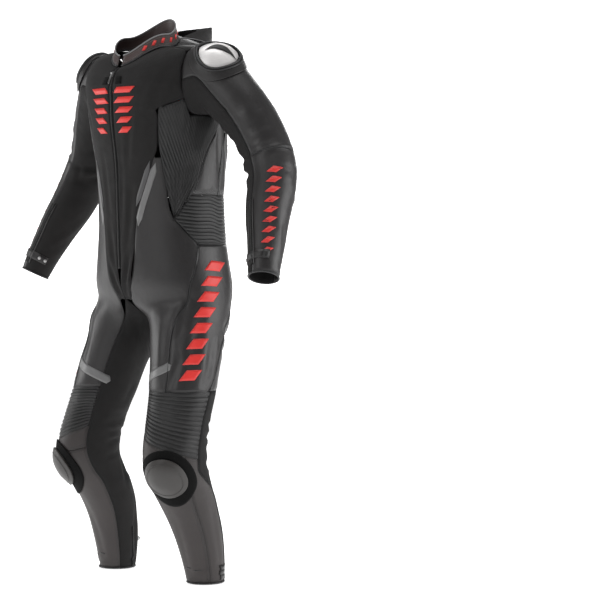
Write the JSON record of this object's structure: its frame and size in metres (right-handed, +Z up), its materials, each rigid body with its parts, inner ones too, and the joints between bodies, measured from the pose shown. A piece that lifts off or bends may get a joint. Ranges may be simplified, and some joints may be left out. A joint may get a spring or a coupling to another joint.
{
  "type": "motorcycle race suit",
  "caption": "One-piece leather motorcycle race suit, worn shape, with a rear hump, rigid shoulder plates, ribbed stretch inserts and knee sliders.",
  "frame": {"origin": "on the body's axis between the shoulders, where the wearer holds the suit up", "axes": "+Z up, -Y is the suit's front, +X is the wearer's left"},
  "size_m": [0.9894, 0.3536, 1.4376],
  "materials": {
    "stretch": "matte stretch weave",
    "leather": "smooth full-grain",
    "shin_leather": "matte full-grain",
    "ribs": "ribbed stretch leather",
    "plate": "satin",
    "puck": "satin",
    "fuzz": "hook-and-loop",
    "tape": "woven",
    "fitting": "satin"
  },
  "bodies": {
    "suit": {"collar": "leather", "front_centre_l": "stretch", "front_centre_r": "stretch", "side_ribs_l": "ribs", "side_ribs_r": "ribs", "side_back_l": "leather", "side_back_r": "leather", "shoulder_yoke_l": "leather", "shoulder_yoke_r": "leather", "shoulder_back_l": "leather", "shoulder_back_r": "leather", "blade_ribs_l": "ribs", "blade_ribs_r": "ribs", "back_l": "leather", "back_r": "leather", "waist_ribs_l": "ribs", "waist_ribs_r": "ribs", "hump_side_l": "stretch", "hump_side_r": "stretch", "hump_spine": "leather", "zip_tape": "tape", "zip_slider": "fitting", "sleeve_upper_l": "leather", "sleeve_upper_r": "leather", "sleeve_inner_l": "stretch", "sleeve_inner_r": "stretch", "forearm_l": "leather", "forearm_r": "leather", "plate_surround_l": "leather", "plate_surround_r": "leather", "shoulder_plate_l": "plate", "shoulder_plate_r": "plate", "hip_front_l": "leather", "hip_front_r": "leather", "thigh_outer_l": "leather", "thigh_outer_r": "leather", "seat_l": "leather", "seat_r": "leather", "inner_leg_l": "stretch", "inner_leg_r": "stretch", "knee_ribs_l": "ribs", "knee_ribs_r": "ribs", "knee_back_l": "stretch", "knee_back_r": "stretch", "knee_cup_l": "shin_leather", "knee_cup_r": "shin_leather", "shin_l": "shin_leather", "shin_r": "shin_leather", "calf_l": "shin_leather", "calf_r": "shin_leather", "knee_pad_l": "fuzz", "knee_pad_r": "fuzz", "knee_slider_l": "puck", "knee_slider_r": "puck", "ankle_slider_l": "fitting", "ankle_slider_r": "fitting"},
    "main_pull": {"zip_pull": "fitting"},
    "left_ankle_pull": {"ankle_pull_l": "fitting"},
    "right_ankle_pull": {"ankle_pull_r": "fitting"}
  },
  "joints": [
    {"name": "main_pull_swing", "type": "hinge", "parent": "suit", "child": "main_pull", "pos_m": [0, -0.16581, -0.07075], "axis": [-1, 0, 0], "range_deg": [0, 120]},
    {"name": "left_ankle_pull_swing", "type": "hinge", "parent": "suit", "child": "left_ankle_pull", "pos_m": [0.13398, 0.03227, -1.28539], "axis": [0.7161, 0.6861, 0.1283], "range_deg": [0, 100]},
    {"name": "right_ankle_pull_swing", "type": "hinge", "parent": "suit", "child": "right_ankle_pull", "pos_m": [-0.13398, 0.03227, -1.28539], "axis": [0.7161, -0.6861, -0.1283], "range_deg": [0, 100]}
  ]
}
